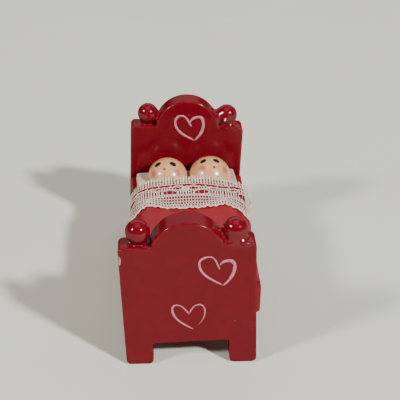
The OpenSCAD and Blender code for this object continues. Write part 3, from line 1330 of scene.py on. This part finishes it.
@dataclass
class Head:
    """A half-ball head with a painted face.

    Attributes:
        node: CAD node that it stands for.
        look_side: Turn of the face toward +X, in degrees from straight at the foot end.
        look_up: How far the face looks up, in degrees.
        roll: Tilt of the face in its own plane, in degrees.
        eye_spread: Half the angle between the eyes.
        eye_shift: Sideways shift of both eyes, in degrees.
        eye_rise: Angle of the eyes over the mouth.
        cheek_spread: Half the angle between the cheeks.
        cheek_drop: Angle of the cheeks under the mouth.
        hairline: Angle from the face to the painted hair.
        curls: Loose dabs of hair paint at the crown, as turns and rises from the mouth.
        centre_lift: Height of the ball's centre over its flat.
        eye: Half length and half width of an eye.
        lips: Half length and half width of the mouth.
        curl: Half length and half width of a curl.
        cheek: Distances from a cheek's middle at which its blush starts to fade and ends.
        step: Spacing of the skin.
    """

    node: str
    look_side: float
    look_up: float
    roll: float
    eye_spread: float
    eye_shift: float
    eye_rise: float
    cheek_spread: float
    cheek_drop: float
    hairline: float
    curls: tuple[Spot, ...] = ()
    centre_lift: float = 0.5
    eye: Spot = (1.75, 1.3)
    lips: Spot = (0.74, 0.66)
    curl: Spot = (1.3, 0.7)
    cheek: Spot = (1.2, 2.2)
    step: float = 0.3

    def __post_init__(self) -> None:
        """Reads the ball's size and sets up the face's own directions."""
        low, high = box_of(self.node)
        self.radius = float(high[0] - low[0]) / 2
        self.middle = np.array([(low[0] + high[0]) / 2, (low[1] + high[1]) / 2, high[2] - self.radius])
        side, up, roll = (math.radians(v) for v in (self.look_side, self.look_up, self.roll))
        self.front = np.array([math.sin(side) * math.cos(up), -math.cos(side) * math.cos(up), math.sin(up)])
        level = np.array([math.cos(side), math.sin(side), 0.0])
        over = np.cross(level, self.front)
        self.right = level * math.cos(roll) + over * math.sin(roll)
        self.up = np.cross(self.right, self.front)
        self.up *= np.sign(self.up[2])

    def toward(self, yaw: float, pitch: float) -> Array:
        """Direction of a place on the face.

        Args:
            yaw: Degrees to the right of the mouth.
            pitch: Degrees over it.

        Returns:
            A unit vector.
        """
        y, p = math.radians(yaw), math.radians(pitch)
        level = self.front * math.cos(y) + self.right * math.sin(y)
        return level * math.cos(p) + self.up * math.sin(p)

    def dab(self, way: Array, size: Spot, slant: float, thick: float) -> Skin:
        """A small raised dab of paint on the ball.

        Args:
            way: Direction of its middle.
            size: Half its length and half its width.
            slant: Turn of its length from the face's right, in degrees.
            thick: Height over the skin.

        Returns:
            Its closed skin.
        """
        side = self.right - way * float(self.right @ way)
        side /= np.linalg.norm(side)
        rise = np.cross(way, side)
        rise *= np.sign(float(rise @ self.up))
        a = math.radians(slant)
        e1, e2 = side * math.cos(a) + rise * math.sin(a), rise * math.cos(a) - side * math.sin(a)
        rings, parts = 7, 28
        turn = np.arange(parts) * 2 * math.pi / parts
        points = [self.middle + way * (self.radius + thick)]
        for ring in range(1, rings + 1):
            r = ring / rings
            flat = e1[None] * (np.cos(turn)[:, None] * size[0] * r)
            flat = flat + e2[None] * (np.sin(turn)[:, None] * size[1] * r)
            ray = way * self.radius + flat
            ray /= np.linalg.norm(ray, axis=1, keepdims=True)
            height = thick * math.sqrt(max(1 - r * r, 0)) - 0.04 * (ring == rings)
            points += list(self.middle + ray * (self.radius + height))
        points.append(self.middle + way * (self.radius - 0.12))
        last = 1 + rings * parts
        faces: list[Sequence[int]] = []
        for n in range(parts):
            m = (n + 1) % parts
            faces.append((0, 1 + n, 1 + m))
            for ring in range(rings - 1):
                a0, b0 = 1 + ring * parts, 1 + (ring + 1) * parts
                faces.append((a0 + n, b0 + n, b0 + m, a0 + m))
            faces.append((last, last - parts + m, last - parts + n))
        if float(np.cross(e1, e2) @ way) < 0:
            faces = [tuple(f[::-1]) for f in faces]
        return Skin(np.array(points), faces)

    def angles(self, rays: Array, way: Array) -> Array:
        """Angles between rays from the ball's middle and a direction, in radians."""
        return np.arccos(np.clip(rays @ way, -1, 1))

    def build(self, skin: Material, black: Material, red: Material, hair: Material) -> None:
        """Makes the head, its eyes, its mouth and its loose curls.

        Args:
            skin: Finish of the ball.
            black: Finish of the eyes.
            red: Finish of the mouth.
            hair: Finish of the curls.
        """
        flat = self.middle[2] - self.centre_lift

        def ball(p: Array) -> Array:
            """Half ball with its lower rim a little rounded."""
            away = np.linalg.norm(p - self.middle, axis=1) - self.radius
            return blend_max(away, flat - p[:, 2], 0.5)

        head, points = painted(self.node, ball, skin, self.step)
        rays = points - self.middle
        rays /= np.linalg.norm(rays, axis=1, keepdims=True)
        blush, eyes = np.zeros(len(rays)), []
        for side in (-1, 1):
            way = self.toward(side * self.cheek_spread, -self.cheek_drop)
            blush = np.maximum(blush, 1 - near(self.angles(rays, way) * self.radius, *self.cheek))
            way = self.toward(self.eye_shift + side * self.eye_spread, self.eye_rise)
            eyes.append(self.dab(way, self.eye, slant=-side * 24, thick=0.14))
        add_mask(head, "blush", blush * 0.85)
        behind = np.degrees(self.angles(rays, self.toward(0, 90) * 0.55 - self.front * 0.83))
        add_mask(head, "hair", near(behind, self.hairline + 9, self.hairline - 9))
        make_piece(f"{self.node}_eyes", joined(eyes), black)
        mouth = self.dab(self.front, self.lips, slant=0, thick=0.12)
        make_piece(f"{self.node}_mouth", mouth, red)
        if self.curls:
            curls = [
                self.dab(self.toward(yaw, rise), self.curl, slant=40.0 - 15.0 * n, thick=0.32)
                for n, (yaw, rise) in enumerate(self.curls)
            ]
            make_piece(f"{self.node}_curls", joined(curls), hair)


# ---------------------------------------------------------------- painted hearts


@dataclass(frozen=True)
class Heart:
    """A heart brushed in outline on a board's face, in places across and over the floor.

    Attributes:
        name: Name of the piece.
        face_y: Place of the face along the bed.
        tail: Where the left stroke starts, under the notch.
        notch: Where the right stroke leaves it.
        left_top: Top of the left lobe.
        left: Widest point on the left.
        right_top: Top of the right lobe.
        right: Widest point on the right.
        tip: Lower tip.
        brush: Half width of a thin stroke.
        left_press: How much the left stroke widens toward the tip.
        right_press: How much the right stroke widens over its lobe.
        dry_end: Share of the right stroke that is painted before the brush runs dry.
    """

    name: str
    face_y: float
    tail: Spot
    notch: Spot
    left_top: Spot
    left: Spot
    right_top: Spot
    right: Spot
    tip: Spot
    brush: float = 0.4
    left_press: float = 0.4
    right_press: float = 0.8
    dry_end: float = 1.0

    def path(self, start: Spot, rise: Spot, top: Spot, wide: Spot) -> Array:
        """Curve from the start over the lobe and down to the tip.

        Args:
            start: First point.
            rise: Direction in which the brush leaves it.
            top: Top of the lobe, where the brush runs level.
            wide: Widest point, where it runs straight down.

        Returns:
            Points of the curve, evenly spread over its three stretches.
        """
        a, b, c, d = (np.array(v, float) for v in (start, top, wide, self.tip))
        out = np.sign(c[0] - b[0])
        down = d - c
        last = down / np.linalg.norm(down) + np.array([-out * 0.38, 0.12])
        ways = [np.array(rise, float), np.array([out, 0.0]), np.array([0.0, -1.0]), last]
        points = []
        for p, q, way_p, way_q in zip((a, b, c), (b, c, d), ways[:-1], ways[1:]):
            reach = float(np.linalg.norm(q - p)) * 1.12
            m, n = way_p / np.linalg.norm(way_p) * reach, way_q / np.linalg.norm(way_q) * reach
            for u in np.linspace(0, 1, 16, endpoint=False):
                ends = (2 * u**3 - 3 * u**2 + 1) * p + (3 * u**2 - 2 * u**3) * q
                points.append(ends + (u**3 - 2 * u**2 + u) * m + (u**3 - u**2) * n)
        points.append(d)
        return np.array(points)

    def stroke(self, flat: Array, width: Array) -> Skin:
        """Lays one brush stroke on the face.

        Args:
            flat: Its middle line, across and up.
            width: Its half width at each point.

        Returns:
            Its closed skin.
        """
        line = np.stack([flat[:, 0], np.full(len(flat), self.face_y), flat[:, 1]], 1)[None]
        normal = np.zeros_like(line)
        normal[..., 1] = -1.0
        return tubes(line, normal, width[None], np.minimum(width * 0.3, 0.14)[None], sides=10)

    def build(self, finish: Material) -> None:
        """Makes the heart.

        Args:
            finish: The brushed paint.
        """
        rise = (self.left_top[0] - self.tail[0], 1.25 * (self.left_top[1] - self.tail[1]))
        left = self.path(self.tail, rise, self.left_top, self.left)
        right = self.path(self.notch, (0.35, 1.0), self.right_top, self.right)
        right = right[: max(4, round(len(right) * self.dry_end))]
        strokes = []
        for flat, press, start, end in (
            (left, self.left_press, 0.55, 0.95),
            (right, self.right_press, 0.28, 0.6),
        ):
            run = np.linspace(0, 1, len(flat))
            wobble = 1 + 0.10 * np.sin(run * 19 + self.tip[0]) + 0.07 * np.sin(run * 47 + self.tip[1])
            heavy = 1 + press * near(run, start - 0.25, start) * (1 - 0.45 * near(run, end, 1.0))
            ends = 0.45 + 0.55 * np.minimum(near(run, -0.01, 0.04), near(run, 1.01, 0.93))
            if self.dry_end < 1 and flat is right:
                ends = ends * near(run, 1.05, 0.7)
            strokes.append(self.stroke(flat, self.brush * wobble * heavy * ends))
        make_piece(self.name, joined(strokes), finish)


# ---------------------------------------------------------------- lace


@dataclass
class LaceBand:
    """Scalloped machine lace, made thread by thread on the flat and laid over the blanket.

    Flat places are s, along the band from the middle of the bed, and t, from the heading by the
    sleepers' chins toward the foot.

    Attributes:
        loaf: What it is laid over.
        head_y: Place of the heading along the bed.
        width: Width of the band at the deepest scallop.
        reach: Length of the band on each side of the middle.
        scallop: Length of one scallop.
        scallop_depth: How far the edge draws back between scallops.
        first: Place of the middle scallop along the band.
        heading: Height of the heading over the middle of a scallop.
        eyelet_row: Height of the row of eyelets under it.
        net_start: Upper edge of the net at the middle of a scallop.
        net_end: Lower edge of it there.
        rib: Spacing of the ribs.
        flat: Height of a thread against its width.
        seed: Seed of the small irregularities.
    """

    loaf: Loaf
    head_y: float
    width: float
    reach: float
    scallop: float = 33.3
    scallop_depth: float = 4.4
    first: float = -1.5
    heading: float = 4.1
    eyelet_row: float = 2.5
    net_start: float = 14.6
    net_end: float = 22.4
    rib: float = 1.3
    flat: float = 0.62
    seed: int = 7

    def __post_init__(self) -> None:
        """Starts the list of threads and the source of irregularity."""
        self.chance = np.random.default_rng(self.seed)
        self.skins: list[Skin] = []

    def repeat(self, s: Array) -> Array:
        """Place within a scallop, 0 at its middle and from -1 to 1."""
        half = self.scallop / 2
        return (np.mod(s - self.first + half, self.scallop) - half) / half

    def hem(self, s: Array) -> Array:
        """Lower edge of the band."""
        u = np.abs(self.repeat(s))
        return self.width - self.scallop_depth * u**2.4

    def net_top(self, s: Array) -> Array:
        """Upper edge of the open net in a scallop."""
        return self.net_start + 1.2 * self.repeat(s) ** 2

    def net_bottom(self, s: Array) -> Array:
        """Lower edge of the open net in a scallop."""
        u = np.abs(self.repeat(s))
        return self.net_end - 8.5 * np.maximum(u - 0.45, 0) ** 1.2

    def eyelets(self, s: Array) -> Array:
        """Upper edge of the eyelet row, which bows toward the chins in each scallop."""
        return self.heading + 1.5 * self.repeat(s) ** 2

    def flower_top(self, s: Array) -> Array:
        """Upper edge of the flower row, under the eyelets."""
        return self.eyelets(s) + self.eyelet_row

    def lay(self, s: Array, t: Array, lift: Array) -> tuple[Array, Array]:
        """Lays flat places over the blanket.

        Args:
            s: Places along the band.
            t: Places across it.
            lift: Heights over the blanket.

        Returns:
            Points and normals.
        """
        middle = near(np.abs(s), 21.0, 12.0)
        curl = 1.5 * np.exp(-np.maximum(t, 0) / 1.5) * middle
        ripple = 0.22 * near(t, 18, self.width) * (1 + np.sin(s * 0.9 + 1.3))
        stand = 2.0 * near(s, 17, 26) * near(s, 40, 30) * near(t, 17, 6)
        x, z, nx, nz = self.loaf.wrap(s, lift + curl + ripple + stand)
        y = self.head_y - t + 0.25 * np.sin(s * 0.21 + 0.6)
        zero = np.zeros_like(nx)
        return np.stack([x, y, z], -1), np.stack([nx, zero, nz], -1)

    def thread(self, s: Array, t: Array, half_width: float | Array, lift: float = 0.28) -> None:
        """Adds threads of equal point count.

        Args:
            s: Places along the band, threads x points.
            t: Places across it, of the same shape.
            half_width: Half width of the threads.
            lift: Height of their middle over the blanket.
        """
        s, t = np.atleast_2d(s), np.atleast_2d(t)
        s = np.clip(s, -self.reach, self.reach)
        lines, normals = self.lay(s, t, np.full(s.shape, lift))
        width = np.broadcast_to(np.asarray(half_width, float), s.shape) * np.ones_like(s)
        self.skins.append(tubes(lines, normals, width, width * self.flat))

    def ribs(
        self,
        start: Distance,
        end: Distance,
        spacing: float,
        half_width: float,
        where: Callable[[Array, Array], Array] | None = None,
        points: int = 5,
        lift: float = 0.3,
    ) -> None:
        """Adds parallel ribs across the band, broken where a mask is off.

        Args:
            start: Upper end of the rib at a place.
            end: Lower end.
            spacing: Spacing along the band.
            half_width: Half width of a rib.
            where: Mask of places that are filled, or None for all.
            points: Points on a rib.
            lift: Height over the blanket.
        """
        s = np.arange(-self.reach + spacing / 2, self.reach, spacing)
        s = s + self.chance.normal(0, 0.05, len(s))
        a, b = start(s), end(s)
        keep = b - a > 0.5
        s, a, b = s[keep], a[keep], b[keep]
        if where is None:
            share = np.linspace(0, 1, points)[None]
            t = a[:, None] + (b - a)[:, None] * share
            sway = 0.07 * np.sin(t * 2.1 + s[:, None] * 3)
            swell = 1 + 0.12 * np.sin(share * math.pi * 3 + s[:, None])
            self.thread(s[:, None] + sway, t, half_width * swell, lift)
            return
        for place, top, bottom in zip(s, a, b):
            t = np.arange(top, bottom, 0.25)
            filled = where(np.full(len(t), place), t)
            runs = np.flatnonzero(np.diff(np.concatenate([[0], filled.astype(int), [0]])))
            for first, last in zip(runs[::2], runs[1::2]):
                if last - first < 3:
                    continue
                piece = np.linspace(t[first], t[last - 1], points)
                self.thread(np.full(points, place), piece, half_width, lift)

    def openings(self) -> list[tuple[float, float, float, float, float]]:
        """Places the openings of the flower row.

        Returns:
            Middle along and across, half sizes, and slant in radians of each.
        """
        found = []
        repeats = math.ceil(self.reach / self.scallop)
        for n in range(-repeats, repeats + 1):
            for side in (-1, 1):
                base = self.first + n * self.scallop
                found.append((base + side * 3.5, 8.1, 2.1, 2.3, math.radians(side * 8.0)))
                found.append((base + side * 7.0, 11.9, 3.2, 2.2, math.radians(-side * 10.0)))
                found.append((base + side * 12.6, 9.0, 2.2, 1.2, math.radians(side * 24.0)))
        return [o for o in found if abs(o[0]) < self.reach - 1.5]

    def filled(self, s: Array, t: Array) -> Array:
        """Finds the closed work of the flower row.

        Args:
            s: Places along the band.
            t: Places across it.

        Returns:
            True outside the openings.
        """
        ok = np.ones(len(s), bool)
        for cs, ct, a, b, r in self.openings():
            u = (s - cs) * math.cos(r) + (t - ct) * math.sin(r)
            v = -(s - cs) * math.sin(r) + (t - ct) * math.cos(r)
            ok &= (u / a) ** 2 + (v / b) ** 2 > 1
        return ok

    def upper_rows(self) -> None:
        """Dense ribs at the chins, with a loose upper edge and the eyelet row under them."""

        def ragged(s: Array) -> Array:
            """Loose upper ends of the ribs."""
            return -0.2 + 0.5 * np.sin(s * 2.3) * np.sin(s * 0.7 + 1)

        self.ribs(ragged, self.eyelets, self.rib, 0.37, points=7, lift=0.34)
        run = np.arange(-self.reach, self.reach, 0.35)
        for share, size in ((0.2, 0.12), (0.6, 0.12), (1.0, 0.17)):
            self.thread(run, share * self.eyelets(run) + 0.12 * np.sin(run * 5.4), size, 0.28)
        self.ribs(self.eyelets, lambda s: self.flower_top(s) - 0.1, self.rib * 4, 0.18, points=3)
        self.thread(run, self.flower_top(run) + 0.25 * np.sin(run * 2.42), 0.24, 0.36)

    def flowers(self) -> None:
        """Closed work with outlined openings and a dense flower in the middle of each scallop."""
        self.ribs(self.flower_top, self.net_top, self.rib * 0.9, 0.3, self.filled)
        run = np.arange(-self.reach, self.reach, 0.4)
        for t in (9.0, 13.3):
            self.thread(run, t + 0.35 * np.cos(run * 4 * math.pi / self.scallop), 0.16, 0.22)
        turn = np.linspace(0, 2 * math.pi, 25)
        for cs, ct, a, b, r in self.openings():
            u, v = np.cos(turn) * (a + 0.1), np.sin(turn) * (b + 0.1)
            ring_s = cs + u * math.cos(r) - v * math.sin(r)
            self.thread(ring_s, ct + u * math.sin(r) + v * math.cos(r), 0.19, 0.42)
            across = np.linspace(-1, 1, 5)
            for k in (-0.4, 0.4):
                self.thread(cs + a * k + 0 * across, ct + across * b, 0.08, 0.25)
        repeats = math.ceil(self.reach / self.scallop)
        for n in range(-repeats, repeats + 1):
            base = self.first + n * self.scallop
            if abs(base) > self.reach:
                continue
            for petal in range(5):
                way = math.radians(-90 + (petal - 2) * 44)
                cs, ct = base + 1.65 * math.cos(way), 10.6 + 2.2 * math.sin(way)
                self.thread(cs + np.cos(turn) * 0.75, ct + np.sin(turn) * 1.0, 0.22, 0.46)
            self.thread(base + np.cos(turn) * 0.45, 10.9 + np.sin(turn) * 0.6, 0.3, 0.5)

    def net(self) -> None:
        """Open net of long square holes in each scallop."""
        run = np.arange(-self.reach, self.reach, 0.35)
        self.thread(run, self.net_top(run), 0.25, 0.36)
        open_here = self.net_bottom(run) - self.net_top(run) > 0.4
        starts = np.flatnonzero(np.diff(np.concatenate([[0], open_here.astype(int), [0]])))
        for first, last in zip(starts[::2], starts[1::2]):
            part = run[first:last]
            if len(part) < 4:
                continue
            self.thread(part, self.net_bottom(part), 0.22, 0.4)
            for k in (1, 2):
                t = self.net_top(part) + (self.net_bottom(part) - self.net_top(part)) * k / 3
                self.thread(part, t + 0.08 * np.sin(part * 5.4), 0.2, 0.3)
        self.ribs(self.net_top, self.net_bottom, self.rib * 0.95, 0.2)

    def border(self) -> None:
        """Dense ribbed scallop with small loops along its edge."""

        def upper(s: Array) -> Array:
            """Where the border starts: under the net, or under the flowers beside it."""
            return np.maximum(self.net_bottom(s), self.net_top(s)) + 0.1

        self.ribs(upper, self.hem, self.rib, 0.32, points=6, lift=0.36)
        run = np.arange(-self.reach, self.reach, 0.3)
        middle = (upper(run) + self.hem(run)) / 2
        self.thread(run, middle, 0.13, 0.3)
        bite = 0.35 - 0.3 * np.abs(np.sin(run * math.pi / (self.rib * 2)))
        self.thread(run, self.hem(run) - bite, 0.34, 0.36)
        loops = np.arange(-self.reach + 0.8, self.reach - 0.8, self.rib * 2)
        turn = np.linspace(0, math.pi, 7)[None]
        loops_t = self.hem(loops)[:, None] + 0.65 * np.sin(turn) - 0.1
        self.thread(loops[:, None] + np.cos(turn) * 0.7, loops_t, 0.2, 0.32)

    def build(self, finish: Material) -> None:
        """Args:
            finish: The thread.
        """
        self.upper_rows()
        self.flowers()
        self.net()
        self.border()
        piece = make_piece("lace_threads", joined(self.skins), finish, "lace_trim")


# ---------------------------------------------------------------- studio


@dataclass(frozen=True)
class Lamp:
    """A soft lamp aimed at the bed.

    Attributes:
        name: Name of the lamp.
        side: Its place round the bed, in degrees from the foot end toward +X.
        height: Its height over the horizon, in degrees.
        power: Its power in watts.
        size: Its width in metres.
        far: Its distance in metres.
        tall: Its height in metres where it is not square.
        colour: Colour of its light.
    """

    name: str
    side: float
    height: float
    power: float
    size: float
    far: float
    tall: float = 0.0
    colour: Colour = (1.0, 0.98, 0.95)

    def build(self) -> None:
        """Makes the lamp."""
        light = bpy.data.lights.new(self.name, "AREA")
        light.energy, light.size, light.color = self.power, self.size, self.colour
        if self.tall:
            light.shape, light.size_y = "RECTANGLE", self.tall
        lamp = bpy.data.objects.new(self.name, light)
        a, e = math.radians(self.side), math.radians(self.height)
        way = Vector((math.sin(a) * math.cos(e), -math.cos(a) * math.cos(e), math.sin(e)))
        lamp.location = Vector((0, 0, 0.03)) + way * self.far
        lamp.rotation_euler = way.to_track_quat("Z", "Y").to_euler()
        bpy.context.scene.collection.objects.link(lamp)


@dataclass
class Studio:
    """Floor, lamps, soft room light and camera.

    Attributes:
        lamps: The lamps.
        room: Strength of the even room light.
        room_colour: Its colour.
        camera_place: Camera in millimetres.
        yaw: Turn of the camera toward +X, in degrees.
        pitch: Its tilt, negative downward.
        roll: Its roll.
        lens: Focal length in millimetres on a 36 mm sensor.
        floor: Half the side of the floor in metres.
    """

    lamps: tuple[Lamp, ...] = (
        Lamp("lamp_right", side=47, height=38, power=226.0, size=0.26, far=3.5, colour=(0.98, 1.0, 0.99)),
        Lamp("lamp_left", side=-62, height=36, power=124.0, size=0.45, far=3.5, colour=(1.0, 0.98, 0.92)),
        Lamp("soft_behind", side=175, height=33, power=23.0, size=4.0, far=2.5, tall=1.5),
        Lamp("soft_above", side=0, height=88, power=4.0, size=1.2, far=1.6),
    )
    room: float = 0.08
    room_colour: Colour = (1.0, 0.99, 0.94)
    camera_place: tuple[float, float, float] = (-14.4, -343.1, 243.95)
    yaw: float = 3.32
    pitch: float = -30.12
    roll: float = 0.745
    lens: float = 83.76
    floor: float = 4.0

    def build(self, paper: Material) -> None:
        """Sets the scene up round the bed.

        Args:
            paper: Finish of the floor.
        """
        corners = [(x * self.floor, y * self.floor, 0) for x, y in ((-1, -1), (1, -1), (1, 1), (-1, 1))]
        mesh = bpy.data.meshes.new("floor")
        mesh.from_pydata(corners, [], [(0, 1, 2, 3)])
        mesh.materials.append(paper)
        floor = bpy.data.objects.new("floor", mesh)
        bpy.context.scene.collection.objects.link(floor)
        for lamp in self.lamps:
            lamp.build()
        world = bpy.data.worlds.new("room")
        world.use_nodes = True
        back = world.node_tree.nodes["Background"]
        back.inputs["Color"].default_value = (*self.room_colour, 1.0)
        back.inputs["Strength"].default_value = self.room
        bpy.context.scene.world = world
        self.camera()

    def camera(self) -> None:
        """Makes the camera."""
        yaw, pitch, roll = (math.radians(v) for v in (self.yaw, self.pitch, self.roll))
        ahead = Vector((math.sin(yaw) * math.cos(pitch), math.cos(yaw) * math.cos(pitch), math.sin(pitch)))
        right = ahead.cross(Vector((0, 0, 1))).normalized()
        up = right.cross(ahead)
        across = right * math.cos(roll) + up * math.sin(roll)
        over = -right * math.sin(roll) + up * math.cos(roll)
        data = bpy.data.cameras.new("camera")
        data.lens, data.sensor_width = self.lens, 36.0
        data.clip_start, data.clip_end = 0.01, 20.0
        camera = bpy.data.objects.new("camera", data)
        turn = Matrix((across, over, -ahead)).transposed().to_4x4()
        camera.matrix_world = Matrix.Translation(Vector(self.camera_place) * MM) @ turn
        bpy.context.scene.collection.objects.link(camera)
        bpy.context.scene.camera = camera


# ---------------------------------------------------------------- the bed


def dress_hidden(finish: Material) -> None:
    """Gives the hidden pins and dowels their bare wood.

    Args:
        finish: The bare wood.
    """
    for node in ("finial_pins", "board_dowels"):
        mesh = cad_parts[node].data
        mesh.materials.clear()
        mesh.materials.append(finish)
        log.info("%s: dressed", node)


def main() -> None:
    """Builds the bed piece by piece and sets up the studio."""
    logging.basicConfig(level=logging.INFO, format="%(message)s")

    lacquer = Lacquer("red_lacquer").make()
    foot_lacquer = Lacquer("red_lacquer_chipped", chipped=True).make()
    ball_lacquer = Lacquer("red_lacquer_balls", coat=0.20, coat_roughness=0.05, coat_index=2.2).make()
    foot_low, _ = box_of("footboard")
    head_low, _ = box_of("headboard")
    foot = EndBoard("footboard", shoulder=55.8, arch_rise=10.0, lean=-2.2, front_y=float(foot_low[1]))
    head = EndBoard("headboard", shoulder=57.6, arch_rise=12.9, lean=1.7, front_y=float(head_low[1]))
    chip = np.array([foot_low[0] + 0.35, foot_low[1] + 0.25, 49.8])
    foot.build(foot_lacquer, chips=[(chip, np.array([0.8, 0.9, 1.9]))])
    head.build(lacquer)
    foot_left_drips = ((-23.6, 57.4, 0.6), (-17.7, 55.9, 0.65))
    foot_right_drips = ((18.8, 57.8, 1.2), (8.6, 62.7, 0.8), (11.7, 64.6, 0.7), (13.7, 65.6, 0.7))
    head_right_drips = ((21.9, 58.8, 1.0), (15.5, 63.2, 0.9), (19.2, 61.6, 1.3))
    for finial in (
        Finial("finial_foot_left", foot, web=2.4, drips=foot_left_drips),
        Finial("finial_foot_right", foot, web=4.0, drips=foot_right_drips),
        Finial("finial_head_left", head, web=2.5),
        Finial("finial_head_right", head, web=4.5, drips=head_right_drips),
    ):
        finial.build(ball_lacquer)

    block_low, block_high = box_of("mattress")
    loaf = Loaf(
        middle_x=float(block_low[0] + block_high[0]) / 2,
        half=float(block_high[0] - block_low[0]) / 2,
        bottom=float(block_low[2]),
        seat=float(block_high[2]),
        top=float(box_of("blanket")[1][2]),
    )
    # Block and blanket get a brighter copy of the red lacquer: the extra brightness is painted light, for
    # the stronger light and reflection on their tops.
    lit_blanket_red = Lacquer(
        "red_blanket_lit",
        coat=0.16,
        coat_roughness=0.18,
        colour=(0.1833, 0.0077, 0.012),
        thin=(0.1967, 0.009, 0.0133),
    )
    BedBlock(loaf).build(lit_blanket_red.make())
    Pillow().build(GlossPaint("white_paint", roughness=0.28, coat=0.4, coat_roughness=0.08).make())

    varnish = {"roughness": 0.27, "coat": 0.35, "coat_roughness": 0.08}
    blond = SkinPaint("skin_blond", **varnish).make()
    dark_hair = {"hair": (0.0667, 0.0233, 0.01), "hair_dark": (0.0267, 0.008, 0.004)}
    brown = SkinPaint("skin_brown", **varnish, **dark_hair).make()
    soot, faded = (0.008, 0.0067, 0.0067), (0.0333, 0.02, 0.0133)
    black = BrushMark("eye_black", gloss=0.15, colour=soot, under=faded, cover=0.95).make()
    rose, lip = (0.16, 0.02, 0.0133), (0.28, 0.0933, 0.0533)
    red = BrushMark("mouth_red", colour=rose, under=lip, cover=0.9).make()
    umber, amber = (0.0367, 0.012, 0.0067), (0.08, 0.0333, 0.0167)
    curl_brown = BrushMark("hair_dark_brown", roughness=0.35, colour=umber, under=amber, cover=0.8).make()
    Head(
        "head_left",
        look_side=-16,
        look_up=52,
        roll=-10,
        eye_spread=24,
        eye_shift=1,
        eye_rise=19,
        cheek_spread=36,
        cheek_drop=8,
        hairline=60,
    ).build(blond, black, red, curl_brown)
    Head(
        "head_right",
        look_side=16,
        look_up=54,
        roll=13,
        eye_spread=20,
        eye_shift=-11,
        eye_rise=24,
        cheek_spread=34,
        cheek_drop=0.5,
        hairline=52,
        curls=((-64, 41), (-52, 45), (-24, 50), (2, 53)),
    ).build(brown, black, red, curl_brown)

    pink = BrushMark("heart_pink", roughness=0.35, coat=0.2).make()
    Heart(
        "heart_headboard",
        head.front_y,
        tail=(3.7, 58.1),
        notch=(2.95, 60.0),
        left_top=(-1.1, 63.5),
        left=(-3.8, 60.3),
        right_top=(7.15, 62.8),
        right=(9.15, 59.0),
        tip=(5.1, 50.85),
        brush=0.43,
        left_press=0.25,
        right_press=0.55,
    ).build(pink)
    Heart(
        "heart_foot_upper",
        foot.front_y,
        tail=(10.3, 45.2),
        notch=(10.25, 47.1),
        left_top=(6.2, 50.9),
        left=(2.45, 48.0),
        right_top=(13.7, 49.1),
        right=(15.9, 46.8),
        tip=(11.75, 37.85),
        brush=0.29,
        left_press=0.5,
        right_press=1.25,
    ).build(pink)
    Heart(
        "heart_foot_lower",
        foot.front_y,
        tail=(-1.1, 24.6),
        notch=(-1.0, 25.2),
        left_top=(-6.2, 28.95),
        left=(-7.8, 27.1),
        right_top=(2.7, 29.05),
        right=(4.9, 25.7),
        tip=(0.35, 17.3),
        brush=0.28,
        left_press=0.45,
        right_press=0.0,
        dry_end=0.93,
    ).build(pink)

    lace_low, lace_high = box_of("lace_trim")
    drop = float(loaf.edge_z - lace_low[2])
    reach = loaf.meet * loaf.crown_radius + loaf.radius * (math.pi / 2 - loaf.meet) + drop
    lace = LaceBand(loaf, head_y=float(lace_high[1]), width=float(lace_high[1] - lace_low[1]), reach=reach)
    lace.build(LaceThread("lace_thread", roughness=0.75).make())
    dress_hidden(BareWood("bare_wood", roughness=0.6).make())
    Studio().build(Backdrop("floor_paper", roughness=0.8).make())


if __name__ == "__main__":
    main()
